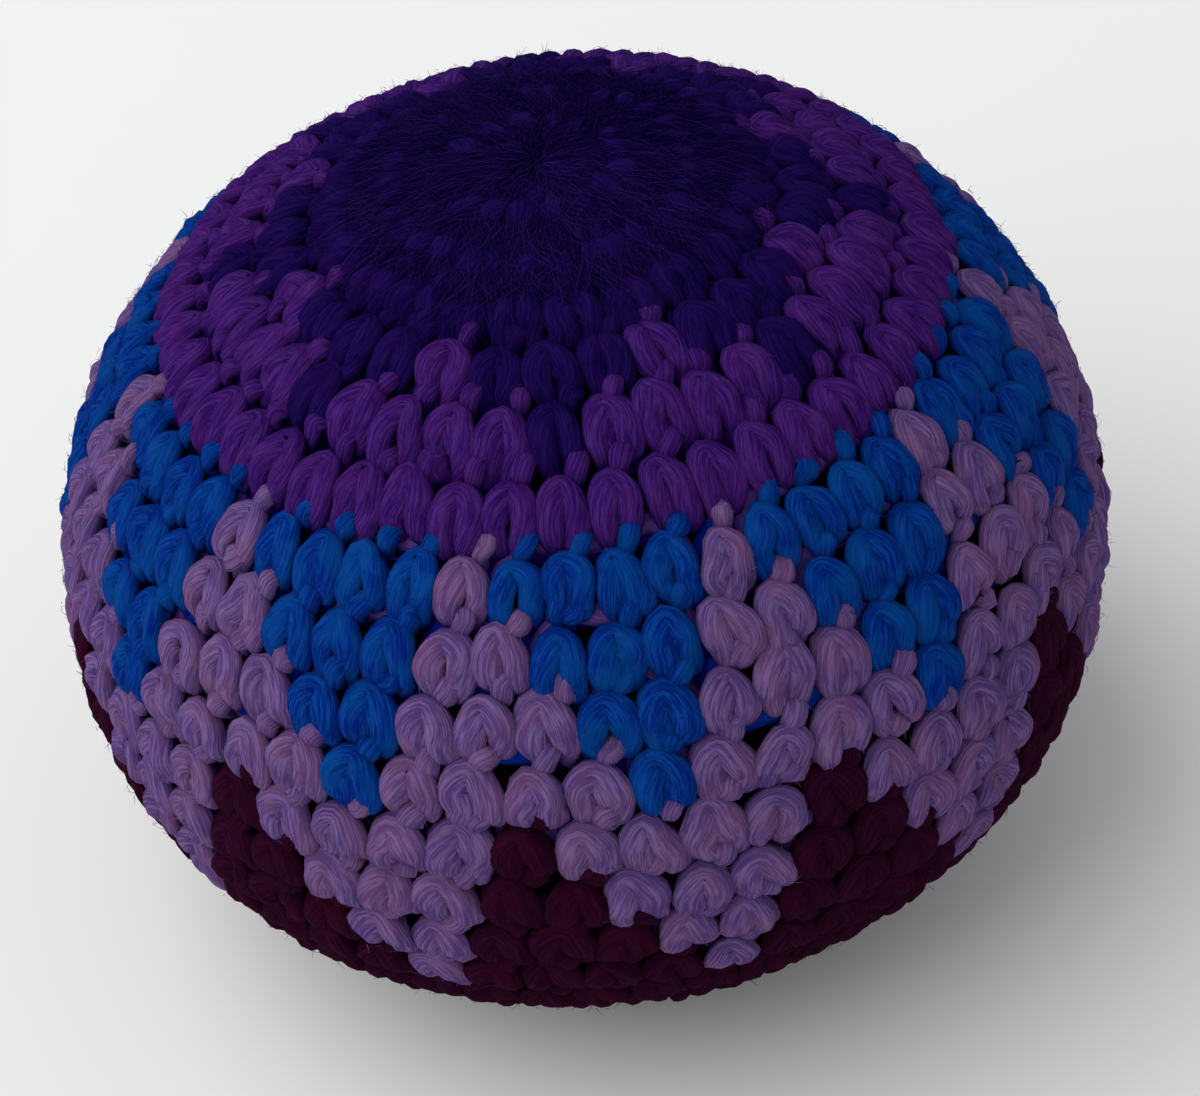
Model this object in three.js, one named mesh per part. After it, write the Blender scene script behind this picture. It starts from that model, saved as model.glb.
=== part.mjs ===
// Crocheted, pellet-filled juggling ball. Millimetres, +Z up.
// The origin is the centre of the flat it rests on. Azimuth 0 faces -Y and grows towards +X.
// The cover is worked in the round from the crown down, in 22 rounds of tight stitches in five
// yarns. Under it, in order: the yarns' tails, a thin pouch tied at its neck, and the pellets.

import * as THREE from 'three';
import { mergeVertices } from 'three/addons/utils/BufferGeometryUtils.js';

// Overall shape
const HALF_WIDTH = 30;
const CROWN_HEIGHT = 26; // widest level up to the top
const BELLY_DEPTH = 23.3; // widest level down to where an unflattened bottom would be
const FOOT_DEPTH = 22.2; // widest level down to the flat it rests on
const FULLNESS = 2.1; // 2 is an ellipse; more is squarer

// Crocheted cover
const COVER_THICKNESS = 2.8;
const ROUNDS = 22;
const START_HOLE_RADIUS = 2.4;
const CLOSING_HOLE_RADIUS = 3.3;
const GAP = 0.3; // between any two pieces that touch on the real ball

// Crown motif: the violet ring rises into the dark crown in blunt teeth
const TEETH = 8;
const TOOTH_AZIMUTH = 20; // degrees, middle of one violet tooth
const TOOTH_OUTLINE = [[-0.125, 3], [0.125, 3], [0.4, 5], [0.6, 5]]; // [share of a repeat, rounds above]
const CROWN_ROUNDS = 6; // rounds above the zigzag band

// Zigzag band: leaning points, five stitches to a repeat
const REPEATS = 11;
const REPEAT_STITCHES = 5;
const PEAK_AZIMUTH = -15.75; // degrees, middle of one mauve peak
const MAUVE_TOP = [[-0.5, 6], [0.5, 6], [2.7, 10], [3.5, 10]]; // [stitches, rounds above]
const MAUVE_BOTTOM = [[0.5, 10], [1.1, 10], [3.5, 14], [4.5, 14]];
const POINT_BLUNT_END = 0.6; // least height at which a blue point's corner is cut off

// Yarn tails between cover and pouch
const TAIL_DIAMETER = 1.2;
const TAIL_CLEARANCE = 0.6; // to the cover on one side and the pouch on the other
const TAIL_SIDES = 6;
const TAIL_STEPS = 10;

// Pouch and its tie
const POUCH_THICKNESS = 0.5;
const NECK_RADIUS = 2.4;
const NECK_CLEARANCE = 0.5; // neck to the inside of the crown
const DIMPLE_DEPTH = 3.2;
const SHOULDER_RADIUS = 8.5;
const TIE_DIAMETER = 1.1;

// Pellets
const PELLET_LEVEL = 12; // above the widest level, where the heap meets the pouch
const HEAP_RISE = 1.6; // how much higher the middle of the heap is

// Start ring and closing knot
const START_RING_YARN = 1.5;
const CLOSING_KNOT_HEIGHT = 2.0;
const CLOSING_KNOT_RECESS = 0.5; // above the flat that the ball rests on
const KNOT_SQUARENESS = 0.6; // 1 is an ellipse in section; less is squarer

// Facets
const RING_SIDES = 6;
const RING_SEGMENTS = 14;
const TURNED_SEGMENTS = 20;

const YARNS = {
  darkPurple: { color: 0x0d0434, roughness: 0.9, metalness: 0 },
  violet: { color: 0x32155b, roughness: 0.9, metalness: 0 },
  blue: { color: 0x0a2870, roughness: 0.9, metalness: 0 },
  mauve: { color: 0x503a6a, roughness: 0.9, metalness: 0 },
  maroon: { color: 0x260b1f, roughness: 0.9, metalness: 0 },
};
const POUCH_FINISH = { color: 0x1a1c38, roughness: 0.85, metalness: 0 };
const TIE_FINISH = { color: 0xe6e0d2, roughness: 0.8, metalness: 0 };
const PELLET_FINISH = { color: 0xe9e7e0, roughness: 0.45, metalness: 0 };

const ball = new THREE.Group();

function addPiece(name, geometry, finish) {
  const mesh = new THREE.Mesh(geometry, new THREE.MeshStandardMaterial(finish));
  mesh.name = name;
  ball.add(mesh);
  return mesh;
}

// ---- The meridian: radius and height against the distance run from the top ----

const MERIDIAN_STEPS = 1200;
const meridian = [];

for (let i = 0; i <= MERIDIAN_STEPS; i += 1) {
  const t = Math.PI * (0.5 - i / MERIDIAN_STEPS);
  const power = 2 / FULLNESS;
  const radius = HALF_WIDTH * Math.abs(Math.cos(t)) ** power;
  const reach = t > 0 ? CROWN_HEIGHT : -BELLY_DEPTH;
  const rise = reach * Math.abs(Math.sin(t)) ** power;
  const point = { radius: i % MERIDIAN_STEPS === 0 ? 0 : radius, z: FOOT_DEPTH + Math.max(rise, -FOOT_DEPTH) };
  const before = meridian[i - 1];
  point.run = before ? before.run + Math.hypot(point.radius - before.radius, point.z - before.z) : 0;
  meridian.push(point);
}
const MERIDIAN_LENGTH = meridian[MERIDIAN_STEPS].run;

function meridianAt(run) {
  const wanted = THREE.MathUtils.clamp(run, 0, MERIDIAN_LENGTH);
  let low = 0;
  let high = MERIDIAN_STEPS;
  while (high - low > 1) {
    const middle = (low + high) >> 1;
    if (meridian[middle].run <= wanted) low = middle;
    else high = middle;
  }
  const share = (wanted - meridian[low].run) / (meridian[high].run - meridian[low].run);
  return new THREE.Vector2(
    THREE.MathUtils.lerp(meridian[low].radius, meridian[high].radius, share),
    THREE.MathUtils.lerp(meridian[low].z, meridian[high].z, share),
  );
}

// A point of the meridian moved inwards by depth, square to the surface
const NORMAL_SPAN = 0.8;

function insetAt(run, depth) {
  const before = meridianAt(run - NORMAL_SPAN);
  const after = meridianAt(run + NORMAL_SPAN);
  const along = after.sub(before).normalize();
  const point = meridianAt(run);
  return new THREE.Vector2(Math.max(point.x + along.y * depth, 0), point.y - along.x * depth);
}

function runWhere(test) {
  return meridian.find(test).run;
}

function around(profilePoint, azimuth) {
  const angle = THREE.MathUtils.degToRad(azimuth);
  return new THREE.Vector3(profilePoint.x * Math.sin(angle), -profilePoint.x * Math.cos(angle), profilePoint.y);
}

const FIRST_RUN = runWhere((p) => p.radius >= START_HOLE_RADIUS);
const FOOT_RUN = runWhere((p) => p.z <= 0);
const LAST_RUN = runWhere((p) => p.run > FOOT_RUN && p.radius <= CLOSING_HOLE_RADIUS);
const ROUND_HEIGHT = (LAST_RUN - FIRST_RUN) / ROUNDS;

function runAfterRounds(rounds) {
  return FIRST_RUN + rounds * ROUND_HEIGHT;
}

// ---- Colour edges: a repeating outline, as run against azimuth ----

function repeatingEdge(outline, unit, repeat, startAzimuth) {
  const points = outline.map(([across, rounds]) => [across * unit, runAfterRounds(rounds)]);
  points.push([points[0][0] + repeat, points[0][1]]);
  const corners = points.slice(0, -1).map(([across]) => startAzimuth + across);
  const runAt = (azimuth) => {
    const first = points[0][0];
    const turned = azimuth - startAzimuth - first;
    const across = first + turned - Math.floor(turned / repeat) * repeat;
    const i = points.findIndex(([x], index) => index > 0 && across <= x + 1e-9);
    const [x0, run0] = points[i - 1];
    const [x1, run1] = points[i];
    return THREE.MathUtils.lerp(run0, run1, (across - x0) / (x1 - x0));
  };
  return { runAt, corners };
}

// The edge moved up (side -1) or down (side 1) so that a square gap is left, slopes included
const GAP_SAMPLES = 12;

function clearOf(edge, side) {
  const reach = GAP / 2;
  return (azimuth) => {
    const radius = meridianAt(edge.runAt(azimuth)).x;
    let furthest = side * edge.runAt(azimuth);
    for (let i = -GAP_SAMPLES; i <= GAP_SAMPLES; i += 1) {
      const across = (reach * i) / GAP_SAMPLES;
      const near = azimuth + THREE.MathUtils.radToDeg(across / radius);
      furthest = Math.max(furthest, side * edge.runAt(near) + Math.sqrt(reach ** 2 - across ** 2));
    }
    return side * furthest;
  };
}

const stitchAngle = 360 / REPEATS / REPEAT_STITCHES;
const toothEdge = repeatingEdge(TOOTH_OUTLINE, 360 / TEETH, 360 / TEETH, TOOTH_AZIMUTH);
const mauveTopEdge = repeatingEdge(MAUVE_TOP, stitchAngle, 360 / REPEATS, PEAK_AZIMUTH);
const mauveBottomEdge = repeatingEdge(MAUVE_BOTTOM, stitchAngle, 360 / REPEATS, PEAK_AZIMUTH);
const crownBottomRun = runAfterRounds(CROWN_ROUNDS);

// ---- Cover pieces: a shell between two colour edges, built in columns ----

// Azimuths of a whole turn: every corner of the edges, with wide and steep steps divided
const WIDEST_STEP = 9; // degrees
const STEEPEST_STEP = 1.5; // rounds
const SAME_AZIMUTH = 0.01;

function columnsOf(edges, repeat) {
  const corners = edges.flatMap((edge) => edge.corners);
  const start = Math.min(...corners);
  const sorted = corners
    .map((corner) => start + ((corner - start + SAME_AZIMUTH / 2) % repeat))
    .sort((a, b) => a - b)
    .filter((azimuth, i, all) => i === 0 || azimuth - all[i - 1] > SAME_AZIMUTH);
  const riseOver = (from, to) => Math.max(...edges.map((edge) => Math.abs(edge.runAt(to) - edge.runAt(from))));
  const columns = [];
  for (let turn = 0; turn < Math.round(360 / repeat); turn += 1) {
    sorted.forEach((azimuth, i) => {
      const next = i + 1 < sorted.length ? sorted[i + 1] : sorted[0] + repeat;
      const steepness = riseOver(azimuth, next) / ROUND_HEIGHT / STEEPEST_STEP;
      const parts = Math.ceil(Math.max((next - azimuth) / WIDEST_STEP, steepness - SAME_AZIMUTH));
      for (let part = 0; part < parts; part += 1) {
        columns.push(azimuth + ((next - azimuth) * part) / parts + turn * repeat);
      }
    });
  }
  return columns;
}

// Evenly spaced runs from one level to another, both included
function levelsBetween(from, to, steps) {
  return Array.from({ length: steps + 1 }, (_, i) => THREE.MathUtils.lerp(from, to, i / steps));
}

function shellGeometry(columns, levelsAt, closed) {
  const grid = columns.map((azimuth) => levelsAt(azimuth).map((run) => ({ azimuth, run })));
  const rows = grid[0].length;
  const positions = [];
  for (const depth of [0, COVER_THICKNESS]) {
    for (const { azimuth, run } of grid.flat()) {
      positions.push(...around(insetAt(run, depth), azimuth).toArray());
    }
  }
  const innerStart = columns.length * rows;
  const at = (column, row, inner) => (inner ? innerStart : 0) + (column % columns.length) * rows + row;
  const index = [];
  const cornerAt = (i) => new THREE.Vector3().fromArray(positions, i * 3);
  const apart = (a, b) => cornerAt(a).distanceTo(cornerAt(b));
  const quad = (a, b, c, d) => {
    // Split along the shorter diagonal, so that the facets stay close to the curved surface
    if (apart(a, c) <= apart(b, d)) index.push(a, b, c, a, c, d);
    else index.push(a, b, d, b, c, d);
  };
  const spans = closed ? columns.length : columns.length - 1;
  const last = rows - 1;
  for (let j = 0; j < spans; j += 1) {
    for (let i = 0; i < last; i += 1) {
      quad(at(j, i), at(j, i + 1), at(j + 1, i + 1), at(j + 1, i));
      quad(at(j, i, true), at(j + 1, i, true), at(j + 1, i + 1, true), at(j, i + 1, true));
    }
    quad(at(j, 0), at(j + 1, 0), at(j + 1, 0, true), at(j, 0, true));
    quad(at(j + 1, last), at(j, last), at(j, last, true), at(j + 1, last, true));
  }
  if (!closed) {
    for (let i = 0; i < last; i += 1) {
      quad(at(0, i + 1), at(0, i), at(0, i, true), at(0, i + 1, true));
      quad(at(spans, i), at(spans, i + 1), at(spans, i + 1, true), at(spans, i, true));
    }
  }
  const geometry = new THREE.BufferGeometry();
  geometry.setAttribute('position', new THREE.Float32BufferAttribute(positions, 3));
  geometry.setIndex(index);
  geometry.computeVertexNormals();
  return geometry;
}

const toothColumns = columnsOf([toothEdge], 360 / TEETH);
const bandColumns = columnsOf([mauveTopEdge, mauveBottomEdge], 360 / REPEATS);
const aboveTeeth = clearOf(toothEdge, -1);
const belowTeeth = clearOf(toothEdge, 1);
const aboveMauve = clearOf(mauveTopEdge, -1);
const belowBlue = clearOf(mauveTopEdge, 1);
const aboveMaroon = clearOf(mauveBottomEdge, -1);
const belowMauve = clearOf(mauveBottomEdge, 1);

// Dark purple crown, from the start hole down to the teeth
const crownLevels = (azimuth) => levelsBetween(FIRST_RUN, aboveTeeth(azimuth), 3);
addPiece('crown_yarn', shellGeometry(toothColumns, crownLevels, true), YARNS.darkPurple);

// Violet ring, from the teeth down to the band
const violetLevels = (azimuth) => levelsBetween(belowTeeth(azimuth), crownBottomRun - GAP / 2, 2);
addPiece('violet_ring_yarn', shellGeometry(toothColumns, violetLevels, true), YARNS.violet);

// Mauve zigzag, all round
const mauveLevels = (azimuth) => {
  const top = Math.max(belowBlue(azimuth), crownBottomRun + GAP / 2);
  return levelsBetween(top, aboveMaroon(azimuth), 4);
};
addPiece('mauve_zigzag_yarn', shellGeometry(bandColumns, mauveLevels, true), YARNS.mauve);

// Blue points, one in each valley of the mauve
const blueTop = crownBottomRun + GAP / 2;
const blueHeightAt = (azimuth) => aboveMauve(azimuth) - blueTop;

function blueColumns(startAzimuth) {
  const corners = MAUVE_TOP.map(([stitches]) => startAzimuth + stitches * stitchAngle);
  const [, peakEnd, valleyStart, valleyEnd] = corners;
  const nextPeak = startAzimuth + MAUVE_TOP[0][0] * stitchAngle + 360 / REPEATS;
  const cornerAt = (flatEnd, deepEnd) => {
    let low = flatEnd;
    let high = deepEnd;
    while (Math.abs(high - low) > 1e-4) {
      const middle = (low + high) / 2;
      if (blueHeightAt(middle) < POINT_BLUNT_END) low = middle;
      else high = middle;
    }
    return high;
  };
  const left = cornerAt(peakEnd, valleyStart);
  const right = cornerAt(nextPeak, valleyEnd);
  return [
    ...levelsBetween(left, valleyStart, 3),
    ...levelsBetween(valleyEnd, right, 2),
  ];
}

for (let i = 0; i < REPEATS; i += 1) {
  const columns = blueColumns(PEAK_AZIMUTH + (i * 360) / REPEATS);
  const levels = (azimuth) => levelsBetween(blueTop, aboveMauve(azimuth), 3);
  const name = `blue_point_${String(i + 1).padStart(2, '0')}`;
  addPiece(name, shellGeometry(columns, levels, false), YARNS.blue);
}

// Maroon base, from the mauve down to the closing hole, flat where it rests
const baseShoulderRun = runAfterRounds(15);
const baseLevels = (azimuth) => [
  ...levelsBetween(belowMauve(azimuth), baseShoulderRun, 3),
  ...levelsBetween(baseShoulderRun, FOOT_RUN, 3).slice(1),
  LAST_RUN,
];
addPiece('maroon_base_yarn', shellGeometry(bandColumns, baseLevels, true), YARNS.maroon);

// ---- Start ring and closing knot ----

// A closed ring of round section, lying flat
function ringGeometry(middleRadius, sectionRadius, height) {
  const profile = [];
  for (let i = 0; i <= RING_SIDES; i += 1) {
    const angle = (2 * Math.PI * (i % RING_SIDES)) / RING_SIDES;
    const x = middleRadius + sectionRadius * Math.cos(angle);
    profile.push(new THREE.Vector2(x, sectionRadius * Math.sin(angle)));
  }
  return latheUpright(profile, RING_SEGMENTS, height);
}

// LatheGeometry turns about Y, so the result is stood up along +Z; its seam is welded
function latheUpright(profile, segments, height) {
  const turned = new THREE.LatheGeometry(profile, segments);
  turned.deleteAttribute('normal');
  turned.deleteAttribute('uv');
  const welded = mergeVertices(turned, 1e-5);
  const kept = [];
  for (let i = 0; i < welded.index.count; i += 3) {
    const corners = [0, 1, 2].map((k) => welded.index.getX(i + k));
    if (new Set(corners).size === 3) kept.push(...corners);
  }
  welded.setIndex(kept);
  welded.rotateX(Math.PI / 2);
  welded.translate(0, 0, height);
  welded.computeVertexNormals();
  return welded;
}

const coverTop = insetAt(0, 0).y;
const crownInside = insetAt(0, COVER_THICKNESS).y;
const startRingRadius = START_RING_YARN / 2;
const startRing = ringGeometry(
  START_HOLE_RADIUS - GAP - startRingRadius,
  startRingRadius,
  coverTop - COVER_THICKNESS / 2,
);
addPiece('start_ring', startRing, YARNS.darkPurple);

// The knot is a rounded button of pulled-up yarn in the closing hole, clear of the floor
const knotRadius = CLOSING_HOLE_RADIUS - GAP;
const knotProfile = [];
for (let i = 0; i <= RING_SIDES; i += 1) {
  const angle = -Math.PI / 2 + (Math.PI * i) / RING_SIDES;
  const x = i % RING_SIDES === 0 ? 0 : knotRadius * Math.cos(angle) ** KNOT_SQUARENESS;
  knotProfile.push(new THREE.Vector2(x, (CLOSING_KNOT_HEIGHT / 2) * Math.sin(angle)));
}
const knotMiddle = CLOSING_KNOT_RECESS + CLOSING_KNOT_HEIGHT / 2;
addPiece('closing_knot', latheUpright(knotProfile, RING_SEGMENTS, knotMiddle), YARNS.maroon);

// ---- Yarn tails, each lying against the inside of the cover ----

const tailDepth = COVER_THICKNESS + TAIL_CLEARANCE + TAIL_DIAMETER / 2;

function tailGeometry(startAzimuth, endAzimuth, startRounds, endRounds) {
  const points = levelsBetween(0, 1, TAIL_STEPS).map((share) => {
    const run = runAfterRounds(THREE.MathUtils.lerp(startRounds, endRounds, share));
    return around(insetAt(run, tailDepth), THREE.MathUtils.lerp(startAzimuth, endAzimuth, share));
  });
  const section = new THREE.Shape();
  for (let i = 0; i < TAIL_SIDES; i += 1) {
    const angle = (2 * Math.PI * i) / TAIL_SIDES;
    const x = (TAIL_DIAMETER / 2) * Math.cos(angle);
    const y = (TAIL_DIAMETER / 2) * Math.sin(angle);
    if (i === 0) section.moveTo(x, y);
    else section.lineTo(x, y);
  }
  section.closePath();
  return new THREE.ExtrudeGeometry(section, {
    steps: TAIL_STEPS,
    bevelEnabled: false,
    curveSegments: 1,
    extrudePath: new THREE.CatmullRomCurve3(points),
  });
}

// [yarn, azimuth at its start and end, rounds below the start ring at its start and end]
const TAILS = [
  ['darkPurple', 'crown_tail', 150, 190, 3, 8],
  ['violet', 'violet_tail', 60, 100, 5.5, 10],
  ['blue', 'blue_tail', -60, -100, 7, 12],
  ['mauve', 'mauve_tail', 120, 160, 10, 14],
  ['maroon', 'maroon_tail', -30, 10, 13, 17.5],
];

for (const [yarn, name, startAzimuth, endAzimuth, startRounds, endRounds] of TAILS) {
  addPiece(name, tailGeometry(startAzimuth, endAzimuth, startRounds, endRounds), YARNS[yarn]);
}

// ---- Pouch: a thin bag of revolution whose tied neck stands in a dimple under the crown ----

const pouchDepth = COVER_THICKNESS + TAIL_DIAMETER + 2 * TAIL_CLEARANCE;
const shoulderRun = runWhere((p) => p.radius >= SHOULDER_RADIUS + pouchDepth * (SHOULDER_RADIUS / HALF_WIDTH));
const shoulder = insetAt(shoulderRun, pouchDepth);
const neckTop = crownInside - NECK_CLEARANCE;
const pelletDepth = pouchDepth + POUCH_THICKNESS + GAP;
const heapEdgeRise = PELLET_LEVEL + pelletDepth * (PELLET_LEVEL / HALF_WIDTH);
const heapEdgeRun = runWhere((p) => p.z <= FOOT_DEPTH + heapEdgeRise);

// The pouch and the heap in it share these levels, so that their facets run side by side
const filledRuns = [MERIDIAN_LENGTH, ...levelsBetween(FOOT_RUN, heapEdgeRun, 6)];
const emptyRuns = levelsBetween(heapEdgeRun, shoulderRun, 3).slice(1);

// Profile vertices from the bottom of the axis, up the side and over to the top of the neck
function pouchProfile() {
  const side = [...filledRuns, ...emptyRuns].map((run) => insetAt(run, pouchDepth));
  side[0].x = 0;
  const dimple = levelsBetween(0, 1, 4).slice(1).map((share) => {
    const drop = (DIMPLE_DEPTH * (1 - Math.cos(Math.PI * share))) / 2;
    return new THREE.Vector2(THREE.MathUtils.lerp(shoulder.x, NECK_RADIUS, share), shoulder.y - drop);
  });
  return [...side, ...dimple, new THREE.Vector2(NECK_RADIUS, neckTop)];
}

// The same line moved to its inner side by a wall's thickness
function insideOf(profile, thickness) {
  return profile.map((point, i) => {
    const into = point.clone().sub(profile[Math.max(i - 1, 0)]).normalize();
    const outOf = profile[Math.min(i + 1, profile.length - 1)].clone().sub(point).normalize();
    const along = into.add(outOf).normalize();
    return new THREE.Vector2(point.x - along.y * thickness, point.y + along.x * thickness);
  });
}

const outerPouch = pouchProfile();
const innerPouch = insideOf(outerPouch, POUCH_THICKNESS);
innerPouch[0].set(0, outerPouch[0].y + POUCH_THICKNESS);
innerPouch[innerPouch.length - 1].set(NECK_RADIUS - POUCH_THICKNESS, neckTop);
const pouchLoop = [...outerPouch, ...innerPouch.reverse()];
addPiece('pouch', latheUpright(pouchLoop, TURNED_SEGMENTS, 0), POUCH_FINISH);

// Tie: thread drawn tight round the neck
const tieRadius = TIE_DIAMETER / 2;
const tieHeight = (neckTop + shoulder.y - DIMPLE_DEPTH) / 2 + tieRadius;
addPiece('pouch_tie', ringGeometry(NECK_RADIUS + GAP + tieRadius, tieRadius, tieHeight), TIE_FINISH);

// ---- Pellets: the heap as one solid of its bulk shape ----

const heapEdge = insetAt(heapEdgeRun, pelletDepth);
const heapSide = filledRuns.map((run) => insetAt(run, pelletDepth));
heapSide[0].x = 0;
const heapTop = levelsBetween(1, 0, 3).slice(1).map((share) => {
  const rise = (HEAP_RISE * (1 + Math.cos(Math.PI * share))) / 2;
  return new THREE.Vector2(heapEdge.x * share, heapEdge.y + rise);
});
heapTop[heapTop.length - 1].x = 0;
addPiece('pellets', latheUpright([...heapSide, ...heapTop], TURNED_SEGMENTS, 0), PELLET_FINISH);

export default ball;
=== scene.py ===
import math

import bpy
import numpy as np
from mathutils import Matrix, Vector


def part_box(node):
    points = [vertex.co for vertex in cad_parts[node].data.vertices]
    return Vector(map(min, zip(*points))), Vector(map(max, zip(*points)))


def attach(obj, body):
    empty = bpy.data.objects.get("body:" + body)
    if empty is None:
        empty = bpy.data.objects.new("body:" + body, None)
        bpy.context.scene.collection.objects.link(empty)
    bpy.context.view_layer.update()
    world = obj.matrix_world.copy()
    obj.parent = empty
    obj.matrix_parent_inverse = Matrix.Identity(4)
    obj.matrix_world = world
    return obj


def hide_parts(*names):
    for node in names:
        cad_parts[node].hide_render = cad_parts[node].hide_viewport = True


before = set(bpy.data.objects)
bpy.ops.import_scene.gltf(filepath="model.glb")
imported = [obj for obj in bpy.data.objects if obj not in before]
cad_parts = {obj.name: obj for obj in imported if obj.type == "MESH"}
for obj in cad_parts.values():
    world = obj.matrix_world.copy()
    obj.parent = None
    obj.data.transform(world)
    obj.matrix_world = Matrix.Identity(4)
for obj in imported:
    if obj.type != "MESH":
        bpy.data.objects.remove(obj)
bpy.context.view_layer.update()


# ---------------------------------------------------------------------------------------------
# Start ring. The ball is begun with a loop of the dark purple yarn, drawn up until its hole
# nearly closes. Like every yarn here it is soft spun fibre in three plies, laid round each
# other. The stitches of round 1 are hooked into it.
# ---------------------------------------------------------------------------------------------

# Lengths are in millimetres and angles in degrees, until a mesh is made
MM = 0.001
HALF_WIDTH = 30.0
CROWN_HEIGHT = 26.0
BELLY_DEPTH = 23.3
FOOT_DEPTH = 22.2
FULLNESS = 2.1
START_HOLE_RADIUS = 2.4
CLOSING_HOLE_RADIUS = 3.3
ROUNDS = 22

# The outline from the top of the crown, over the side, to the middle of the underside
turn = np.linspace(math.pi / 2, -math.pi / 2, 4801)
outline_radius = HALF_WIDTH * np.abs(np.cos(turn)) ** (2 / FULLNESS)
reach = np.where(turn > 0, CROWN_HEIGHT, -BELLY_DEPTH)
outline_height = FOOT_DEPTH + np.maximum(reach * np.abs(np.sin(turn)) ** (2 / FULLNESS), -FOOT_DEPTH)
steps = np.hypot(np.diff(outline_radius), np.diff(outline_height))
outline_run = np.concatenate([[0], np.cumsum(steps)])
first_run = outline_run[np.argmax(outline_radius >= START_HOLE_RADIUS)]
last_run = outline_run[-1] - CLOSING_HOLE_RADIUS
ROUND_HEIGHT = (last_run - first_run) / ROUNDS


SLOPE_REACH = 0.8  # how far to each side the outline's slope is taken from


def outline_at(run):
    """Radius and height of the outline, and the way out of the ball, at a run from the top."""
    def sample(at):
        at = np.clip(at, 0, outline_run[-1])
        return np.interp(at, outline_run, outline_radius), np.interp(at, outline_run, outline_height)
    radius, height = sample(run)
    before_r, before_z = sample(run - SLOPE_REACH)
    after_r, after_z = sample(run + SLOPE_REACH)
    along = np.stack([after_r - before_r, after_z - before_z], -1)
    along /= np.linalg.norm(along, axis=-1, keepdims=True)
    return radius, height, -along[..., 1], along[..., 0]


def on_ball(azimuth, run, depth):
    """Points at a depth under the outside of the ball, and the way out at each.
    Azimuth 0 faces -Y and grows towards +X."""
    radius, height, out_r, out_z = outline_at(np.asarray(run, float))
    angle = np.radians(azimuth)
    flat = np.stack([np.sin(angle), -np.cos(angle)], -1)
    at_depth = [flat * (radius - out_r * depth)[..., None], (height - out_z * depth)[..., None]]
    points = np.concatenate(at_depth, -1)
    ways_out = np.concatenate([flat * out_r[..., None], out_z[..., None]], -1)
    return points, ways_out


def round_the_axis(radius, angle, height):
    """Points round the ball's upright axis, at an angle in radians from -Y."""
    around = radius * np.sin(angle), -radius * np.cos(angle), height
    return np.stack(np.broadcast_arrays(*around), -1)


def unit(vectors):
    return vectors / np.linalg.norm(vectors, axis=-1, keepdims=True)


class Work:
    """Yarn that has been laid, gathered until it becomes one piece."""

    def __init__(self, seed):
        self.random = np.random.default_rng(seed)
        self.points, self.fibres, self.shades, self.faces = [], [], [], []
        self.count = 0
        self.lines = []

    def add(self, points, fibres, shades, faces):
        """Adds a mesh. Its painted shade is 0 on open yarn, 1 in the depths and -1 on a loose fibre."""
        self.points.append(points.reshape(-1, 3))
        self.fibres.append(fibres.reshape(-1, 3))
        self.shades.append(shades.reshape(-1))
        self.faces += [block + self.count for block in faces]
        self.count += len(self.points[-1])


def tube_faces(rings, sides):
    """The faces of a tube, given as rings with the same number of points."""
    ring = np.arange(rings - 1)[:, None] * sides
    i = np.arange(sides)[None, :]
    j = (i + 1) % sides
    return np.stack([ring + i, ring + j, ring + j + sides, ring + i + sides], -1).reshape(-1, 4)


def closed_tube_faces(rings, sides):
    """The faces of a tube and of the flat caps on its two ends."""
    fan = np.array([[0, k, k + 1, k + 2] for k in range(1, sides - 1, 2)])
    return [tube_faces(rings, sides), fan[:, ::-1], fan + (rings - 1) * sides]


PLIES = 3
PLY_DEPTH = 0.17  # how deep the grooves between plies are, as a share of the yarn's radius
PLY_PITCH = 19.0  # length in which one ply goes once round
# Painted shade: the grooves between the plies, and yarn that lies deep between the stitches, are marked to
# take each material's deep colour, which stands in for the shade there.
GROOVE_SHADE = 0.18
RIDGE_DEPTH = 0.055  # unevenness of the bundled fibres, as a share of the yarn's radius
RIDGE_LENGTH = 1.7
STRAND_LENGTH = 500  # stretch of spun fibre that each yarn's pattern is cut from
SHADE_START = 0.65  # depth under the outside of the ball where the yarn starts to lie in shade
SHADE_REACH = 1.35


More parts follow.
